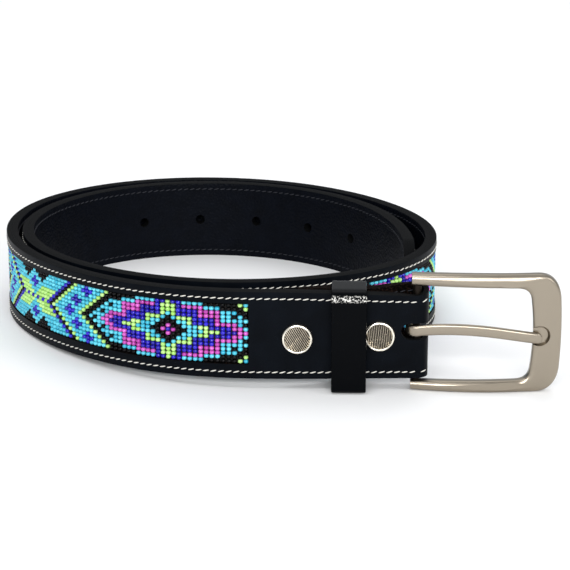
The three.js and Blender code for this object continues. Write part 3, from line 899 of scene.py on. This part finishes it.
def glossy_leather():
    material, tree, shader = new_material(
        "glossy_leather", "#020305", Roughness=0.2, Specular_IOR_Level=0.05)
    at = add(tree, "ShaderNodeTexCoord").outputs["Object"]
    up = add(tree, "ShaderNodeSeparateXYZ", links={"Vector": at}).outputs["Z"]
    above = add(tree, "ShaderNodeMapRange",
                {"From Min": GLINT_LOW[0] * MM, "From Max": GLINT_LOW[1] * MM}, {"Value": up})
    below = add(tree, "ShaderNodeMapRange",
                {"From Min": GLINT_HIGH[1] * MM, "From Max": GLINT_HIGH[0] * MM}, {"Value": up})
    grain = add(tree, "ShaderNodeTexNoise", {"Scale": PER_METRE / CRACK_GRAIN, "Detail": 3.0},
                {"Vector": at})
    specks = add(tree, "ShaderNodeMapRange", {"From Min": 0.5, "From Max": 0.58},
                 {"Value": grain.outputs["Fac"]})
    on_shoulder = add(tree, "ShaderNodeMath", operation="MULTIPLY",
                      links={0: above.outputs["Result"], 1: below.outputs["Result"]})
    painted_glints = add(tree, "ShaderNodeMath", operation="MULTIPLY",
               links={0: on_shoulder.outputs["Value"], 1: specks.outputs["Result"]})
    # The pale specks are a painted highlight: light glinting on the cracked shoulder.
    two_tones(tree, shader, painted_glints.outputs["Value"], "#020305", "#DAD8D2")
    bump(tree, shader, grain.outputs["Fac"], 0.2, 0.2)
    return material


def make_keeper():
    x0, x1 = BAR.x - LOOP_LEFT - LOOP_WIDTH, BAR.x - LOOP_LEFT
    rings = []
    for outer, inner in zip(loop_outline(0), loop_outline(LOOP_WALL)):
        side = [(x, inner + (outer - inner) * share) for x, share in LOOP_EDGE]
        ring = [(x0 + x, *yz) for x, yz in side] + [(x1 - x, *yz) for x, yz in reversed(side)]
        rings.append(ring)
    bm = skin(rings, closed=True)
    place_mm(bm)
    return finish(bm, "keeper_leather", [glossy_leather()])


belongs(make_keeper(), "belt", ["keeper_loop"])

# %% [markdown]
# ### Nickel
# The buckle and snaps are satin nickel: brushed a little, so its highlights spread, and warm in
# colour. The discs of the snaps are pressed with fine ridges, each at its own angle, inside a
# polished rim that catches a thin bright ring; the ridges' shade and light are painted into the
# discs' colour. Little is seen of the bar that the strap folds round, and it looks nearly black,
# which is taken to be the fold's shade, a guess; the bar is drawn in dark metal, as painted shade.

# %% Nickel materials
WEAR = 5.0
# The light colour is the nickel's own; the dark one is painted shade in the grooves of the snaps' ridges.
NICKEL_LIGHT, PAINTED_RIDGE_SHADE = "#B9AF9F", "#14110F"


def satin_nickel():
    material, tree, shader = new_material("satin_nickel", "#9F9586", Metallic=1.0, Roughness=0.3)
    at = add(tree, "ShaderNodeTexCoord").outputs["Object"]
    wear = add(tree, "ShaderNodeTexNoise", {"Scale": PER_METRE / WEAR, "Detail": 5.0}, {"Vector": at})
    rough = add(tree, "ShaderNodeMapRange", {"To Min": 0.24, "To Max": 0.38},
                {"Value": wear.outputs["Fac"]})
    tree.links.new(rough.outputs["Result"], shader.inputs["Roughness"])
    bump(tree, shader, wear.outputs["Fac"], 0.1, 0.3)
    return material


def ridged_nickel(name, angle, pitch, distortion):
    material, tree, shader = new_material(name, NICKEL_LIGHT, Metallic=1.0, Roughness=0.3)
    at = add(tree, "ShaderNodeTexCoord").outputs["Object"]
    turn = {"Rotation": (0.0, math.radians(angle), 0.0)}
    turned = add(tree, "ShaderNodeMapping", turn, {"Vector": at})
    bands = {"Scale": PER_METRE / pitch / math.pi, "Distortion": distortion}
    ridges = add(tree, "ShaderNodeTexWave", bands, {"Vector": turned.outputs["Vector"]},
                 bands_direction="X")
    # Grooves in painted shade, crests in the light nickel: the ridges' light and shade are painted in.
    ramp = two_tones(tree, shader, ridges.outputs["Fac"], PAINTED_RIDGE_SHADE, NICKEL_LIGHT)
    ramp.color_ramp.elements[0].position = 0.3
    ramp.color_ramp.elements[1].position = 0.8
    bump(tree, shader, ridges.outputs["Fac"], 0.8, 0.4)
    return material


NICKEL = satin_nickel()
# Dark metal for the bar, as painted shade: the bar lies in the shade of the strap's fold.
PAINTED_SHADE_NICKEL = new_material("painted_shade_nickel", "#2B2622", Metallic=1.0, Roughness=0.5)[0]
RIM_NICKEL = new_material("polished_nickel_rim", "#FFF8E8", Metallic=1.0, Roughness=0.22)[0]
print("metals:", NICKEL.name, PAINTED_SHADE_NICKEL.name, RIM_NICKEL.name)

# %% [markdown]
# ### The snaps
# A snap is round, so its whole section is drawn once, from the disc over the rolled rim to the
# head behind the flap, and spun. Each length is measured from the layers that the snap holds.

# %% Snaps
# SNAPS holds, for each snap, how far it is left of the bar, its height, and its ridges' angle,
# pitch and waviness.
CAP_HEIGHT, RIDGED_RADIUS, POST_RADIUS = 1.9, 5.2, 2.2
HEAD_RADIUS, HEAD_EDGE, HEAD_THICK, HEAD_CORNER = 4.0, 0.8, 1.2, 0.6
SNAP_SIDES = 48
SNAPS = ((49.8, 22.9, 32, 0.8, 0.5), (15.6, 24.4, 6, 0.75, 2.0))
CAP_PROFILE = (
    (0, 0.72), (2, 0.73), (4, 0.7), (5.2, 0.6), (5.35, 0.75), (5.5, 0.93), (5.75, 1.0), (6.05, 0.97),
    (6.3, 0.84), (6.45, 0.6), (6.5, 0.4), (6.5, 0),
)


def spun(profile, steps):
    """A profile of radius and height in front of the seat, spun about the y axis."""
    bm = bmesh.new()
    points = [bm.verts.new((r, -h, 0)) for r, h in profile]
    line = [bm.edges.new(pair) for pair in zip(points, points[1:])]
    bmesh.ops.spin(bm, geom=points + line, cent=(0, 0, 0), axis=(0, 1, 0), angle=math.tau,
                   steps=steps, use_merge=True)
    bmesh.ops.remove_doubles(bm, verts=bm.verts, dist=0.001)
    bmesh.ops.recalc_face_normals(bm, faces=bm.faces)
    return bm


def make_snap(number, back, z, angle, pitch, distortion):
    seat = BAR.y - FACE_AHEAD - FIT_GAP
    u = back - FOLD_FROM
    crest = max(float(flap_offset(u + d)) for d in (-HEAD_RADIUS, 0.0, HEAD_RADIUS))
    span = FOLD_Y + FOLD_OUTER + crest + FIT_GAP - seat
    head = ((POST_RADIUS, 0), (POST_RADIUS, -span), (HEAD_RADIUS, -span),
            (HEAD_RADIUS, -span - HEAD_EDGE), (HEAD_RADIUS - HEAD_CORNER, -span - HEAD_THICK),
            (0, -span - HEAD_THICK))
    profile = [(r, h * CAP_HEIGHT) for r, h in CAP_PROFILE] + list(head)
    bm = spun(profile, SNAP_SIDES)
    for f in bm.faces:
        at = f.calc_center_median()
        f.material_index = int(at.y < 0 and math.hypot(at.x, at.z) < RIDGED_RADIUS)
    place_mm(bm, (BAR.x - back, seat, z))
    ridged = ridged_nickel(f"ridged_nickel_{number}", angle, pitch, distortion)
    return finish(bm, f"snap_{number}", [RIM_NICKEL, ridged])


for number, snap in enumerate(SNAPS, 1):
    belongs(make_snap(number, *snap), "belt", [f"snap_cap_{number}"])

# %% [markdown]
# ### The buckle's frame
# The frame is cast: two arms and a right bar in one, bowed towards the viewer. Its outer and inner
# outlines are drawn with the same number of points, and a rounded section joins each pair. The
# edge by the opening is rounder at the right bar, where the strap slides.

# %% Frame
FRAME_LENGTH, FRAME_HEIGHT, FRAME_DEPTH = 60.3, 51.5, 5.2
ARM_OVERHANG, TOP_ARM, RIGHT_BAR = 2.4, 5.4, 11.7
FRAME_BACK, FRAME_LEAN, FRAME_BOW = 1.8, -1.6, 3.3
CORNER_LONG, CORNER_HIGH, OPENING_CORNER = 10.3, 11.0, 7.0
ARM_OUTER, ARM_INNER, ARM_ROUND_DEPTH = 0.55, 0.4, 2.1
BAR_OUTER, BAR_INNER, BAR_ROUND_DEPTH = 1.4, 3.0, 1.6
BAR_BLEND_FROM, BAR_BLEND, BACK_ROUND = 32.0, 14.0, 0.8
BAR_RADIUS = 1.8


def frame_centre(x):
    t = (x + ARM_OVERHANG) / (FRAME_LENGTH + ARM_OVERHANG)
    return -FRAME_BACK - FRAME_LEAN * t - FRAME_BOW * np.sin(math.pi * t)


def frame_lines():
    """The outer and the inner outline; small numbers are offsets that keep the lines slack, as cast."""
    h, left, right = FRAME_HEIGHT / 2, -ARM_OVERHANG, FRAME_LENGTH
    low, top, inner = h - ARM_HEIGHT, h - TOP_ARM, FRAME_LENGTH - RIGHT_BAR
    reach, rise, turn = right - CORNER_LONG, h - CORNER_HIGH, inner - OPENING_CORNER
    side, under = top - OPENING_CORNER, low - OPENING_CORNER
    outer = np.vstack((
        bezier((left, -h + 0.5), (right * 0.23, -h), (right * 0.46, -h), count=14),
        bezier((right * 0.46, -h), (reach, -h + 0.2), count=12),
        bezier((reach, -h + 0.2), (right - 4, -h + 0.4), (right - 1, -h + 5), (right - 0.6, -rise),
               count=18),
        bezier((right - 0.6, -rise), (right + 0.4, 0), (right - 0.6, rise), count=24),
        bezier((right - 0.6, rise), (right - 1, h - 5), (right - 4, h - 0.4), (reach, h - 0.2),
               count=18),
        bezier((reach, h - 0.2), (right * 0.46, h), count=12),
        bezier((right * 0.46, h), (right * 0.23, h), (left, h - 0.5), count=14),
        [(left, h - 0.5)],
    ))
    half_way = left + (turn - left) * 0.55
    inside = np.vstack((
        bezier((left, -low), (half_way, -low + 0.35), count=14),
        bezier((half_way, -low + 0.35), (turn, -low + 0.7), count=12),
        bezier((turn, -low + 0.7), (inner - 3, -low + 0.9), (inner - 1.5, -low + 3),
               (inner - 1.2, -under), count=18),
        bezier((inner - 1.2, -under), (inner + 0.6, 0), (inner - 1.2, side), count=24),
        bezier((inner - 1.2, side), (inner - 1.5, top - 3), (inner - 3, top - 0.9),
               (turn, top - 0.7), count=18),
        bezier((turn, top - 0.7), (half_way, top - 0.35), count=12),
        bezier((half_way, top - 0.35), (left, top), count=14),
        [(left, top)],
    ))
    return outer, inside


def inward(line, sign):
    along = np.gradient(line, axis=0)
    along /= np.linalg.norm(along, axis=1, keepdims=True)
    return sign * np.stack((-along[:, 1], along[:, 0]), axis=1)


def quarter_round(outline, into, across, face, deep, angles):
    """Points from the frame's side onto its face, each as its (x, z) and its y."""
    return [(outline + into * across * (1 - math.cos(a)), face + deep * (1 - math.sin(a)))
            for a in angles]


def frame_rings():
    outer, inside = frame_lines()
    into_outer, into_inside = inward(outer, 1), inward(inside, -1)
    half = FRAME_DEPTH / 2
    wide = np.linalg.norm(outer - inside, axis=1)
    at_bar = smooth((inside[:, 0] - BAR_BLEND_FROM) / BAR_BLEND)
    outer_round = (1 - at_bar) * wide * ARM_OUTER + at_bar * BAR_OUTER
    inner_round = (1 - at_bar) * wide * ARM_INNER + at_bar * BAR_INNER
    depths = (1 - at_bar) * ARM_ROUND_DEPTH + at_bar * BAR_ROUND_DEPTH
    fine, coarse = np.linspace(0, math.pi / 2, 7), np.linspace(0, math.pi / 2, 4)
    rings = []
    for k, deep in enumerate(depths):
        p, q, n, m = outer[k], inside[k], into_outer[k], into_inside[k]
        ring = quarter_round(p, n, outer_round[k], -half, deep, fine)
        ring += quarter_round(q, m, inner_round[k], -half, deep, fine[::-1])
        ring += quarter_round(q, m, BACK_ROUND, half, -BACK_ROUND, coarse)
        ring += quarter_round(p, n, BACK_ROUND, half, -BACK_ROUND, coarse[::-1])
        rings.append([(x, y, z) for (x, z), y in ring])
    return rings


FRAME_RINGS = frame_rings()
print("the frame is", len(FRAME_RINGS), "rings of", len(FRAME_RINGS[0]), "points")

# %% [markdown]
# ### The notch, and the frame
# The tongue's tip rests in a shallow bowl that is open towards the opening. It is cut like the
# holes, before the frame is bowed, so that its floor bows with it. The bar is a plain cylinder.

# %% Notch and frame
NOTCH_X, NOTCH_OPEN, NOTCH_LONG, NOTCH_HIGH = 51.3, 40.0, 3.5, 3.7
NOTCH_DROP, NOTCH_DEPTH = 0.9, 1.5
NOTCH_WALL = ((0, -0.3), (0.4, 0.1), (1, 0.3), (3, 1.6))


def notch_cutter():
    """A half-round bowl; NOTCH_WALL holds how far forward and how much wider each level is."""
    floor = -FRAME_DEPTH / 2 + NOTCH_DEPTH
    angles = np.linspace(-math.pi / 2, math.pi / 2, 17)
    levels = []
    for forward, grow in NOTCH_WALL:
        y = floor - forward
        bowl = [(NOTCH_X + (NOTCH_LONG + grow) * math.cos(a), y,
                 -NOTCH_DROP + (NOTCH_HIGH + grow) * math.sin(a)) for a in angles]
        levels.append([(NOTCH_OPEN, y, bowl[0][2]), *bowl, (NOTCH_OPEN, y, bowl[-1][2])])
    return skin(levels)


def make_frame():
    bm = cut_away(skin(FRAME_RINGS), notch_cutter())
    for v in bm.verts:
        v.co.y += float(frame_centre(v.co.x))
    bar = bmesh.ops.create_cone(bm, cap_ends=True, segments=24, radius1=BAR_RADIUS, radius2=BAR_RADIUS,
                                depth=FRAME_HEIGHT - ARM_HEIGHT)
    # The bar gets the dark metal, which paints the fold's shade on it.
    for f in {f for v in bar["verts"] for f in v.link_faces}:
        f.material_index = 1
    place_mm(bm, BAR)
    return finish(bm, "frame_nickel", [NICKEL, PAINTED_SHADE_NICKEL])


belongs(make_frame(), "frame", ["buckle_frame"])

# %% [markdown]
# ### The tongue
# The tongue is a strip with rounded corners that hooks round the bar, arches up a little and
# comes down into the notch.

# %% Tongue
TONGUE_WIDE, TONGUE_THICK, TONGUE_TIP = 4.8, 2.4, 52.0
TONGUE_BOW, TONGUE_DROP = 2.2, 2.5
TONGUE_CORNER, TIP_ROUND, HOOK_ROUND, END_SHARE = 1.1, 2.2, 1.2, 0.35
HOOK_GAP, HOOK_FROM, HOOK_TO, HOOK_STEP = 0.45, 75.0, 258.1, 20.3
EDGE_GAP = 1.1


def rest_at(x):
    """The tongue's middle where its back would touch the notch's floor, but for a small gap."""
    return float(frame_centre(x)) - FRAME_DEPTH / 2 + NOTCH_DEPTH - FIT_GAP - TONGUE_THICK / 2


def tongue_line():
    r = BAR_RADIUS + HOOK_GAP + TONGUE_THICK / 2
    edge = FRAME_LENGTH - RIGHT_BAR - EDGE_GAP
    turns = np.radians(np.arange(HOOK_FROM, HOOK_TO, HOOK_STEP))
    hook = [(r * math.cos(a), r * math.sin(a)) for a in turns]
    shank = [(2.5, -r - 0.3), (9, -r - 0.9), (18, -r - 1.5), (30, rest_at(edge) - 0.2),
             (edge - 6, rest_at(edge) - 0.3), (edge, rest_at(edge)), (TONGUE_TIP, rest_at(TONGUE_TIP))]
    return through_points(hook + shank, 5)


def tongue_section():
    corners = ((1, 1), (-1, 1), (-1, -1), (1, -1))
    section = []
    for k, (a, b) in enumerate(corners):
        for angle in np.linspace(0, math.pi / 2, 5):
            turn = angle + k * math.pi / 2
            section.append((a * (TONGUE_WIDE / 2 - TONGUE_CORNER) + TONGUE_CORNER * math.cos(turn),
                            b * (TONGUE_THICK / 2 - TONGUE_CORNER) + TONGUE_CORNER * math.sin(turn)))
    return section


def make_tongue():
    line = tongue_line()
    sides = inward(line, 1)
    walked = np.concatenate(([0], np.cumsum(np.linalg.norm(np.diff(line, axis=0), axis=1))))
    rings = []
    for (x, y), side, here in zip(line, sides, walked):
        t = min(max(x / TONGUE_TIP, 0.0), 1.0)
        lift = TONGUE_BOW * math.sin(math.pi * t ** 0.8) - TONGUE_DROP * t
        tip = min((walked[-1] - here) / TIP_ROUND, 1.0)
        hook = min(here / HOOK_ROUND, 1.0)
        share = END_SHARE + (1 - END_SHARE) * math.sqrt(1 - (1 - min(tip, hook)) ** 2)
        rings.append([(x + side[0] * b * share, y + side[1] * b * share, a * share + lift)
                      for a, b in tongue_section()])
    bm = skin(rings)
    place_mm(bm, BAR + Vector((0, 0, TONGUE_RISE)))
    return finish(bm, "tongue_nickel", [NICKEL])


belongs(make_tongue(), "tongue", ["buckle_tongue"])

# %% [markdown]
# ## The light
# Black leather and metal show mostly what they reflect, so most of the light is a pale room, and
# the lamps in it are large and soft: one overhead from behind, a panel in front, a small key from
# the left and a strip on the right. The far lamp only whitens the table behind the belt. It is
# hidden from reflections, because the black leather would mirror it and turn grey.

# %% Floor and lamps
ROOM_COLOUR, ROOM_STRENGTH = "#E9ECF0", 0.66


def make_floor():
    """A matt white table, so wide that the camera above never sees its edge."""
    bm = bmesh.new()
    bmesh.ops.create_grid(bm, x_segments=1, y_segments=1, size=4)
    matt = new_material("white_table", "#F2F2F2", Roughness=0.9, Specular_IOR_Level=0.0)[0]
    floor = finish(bm, "floor", [matt])


def lamp(name, at, to, size, power):
    data = bpy.data.lights.new(name, "AREA")
    data.shape, data.size, data.size_y = "RECTANGLE", *size
    data.energy = power
    light = bpy.data.objects.new(name, data)
    light.location = at
    light.rotation_euler = (Vector(to) - Vector(at)).to_track_quat("-Z", "Y").to_euler()
    bpy.context.collection.objects.link(light)
    return light


make_floor()
lamp("overhead", (0.0, 0.45, 0.9), (0, 0, 0), (1.0, 0.6), 2)
lamp("front_panel", (0.1, -1.3, 0.6), (0, 0, 0.02), (1.2, 0.22), 14)
lamp("key", (-0.25, -0.55, 1.0), (0, 0, 0.02), (0.35, 0.3), 2)
far_floor = lamp("far_floor", (0, 2.6, 1.5), (0, 2.4, 0), (3.5, 1.5), 50)
far_floor.visible_glossy = False
lamp("right_strip", (0.9, -0.5, 0.5), (0.08, -0.1, 0.02), (0.3, 0.6), 2)

world = bpy.data.worlds.new("pale_room")
bpy.context.scene.world = world
world.use_nodes = True
background = world.node_tree.nodes["Background"]
background.inputs["Color"].default_value = linear(ROOM_COLOUR)
background.inputs["Strength"].default_value = ROOM_STRENGTH
bpy.context.scene.view_settings.view_transform = "Standard"
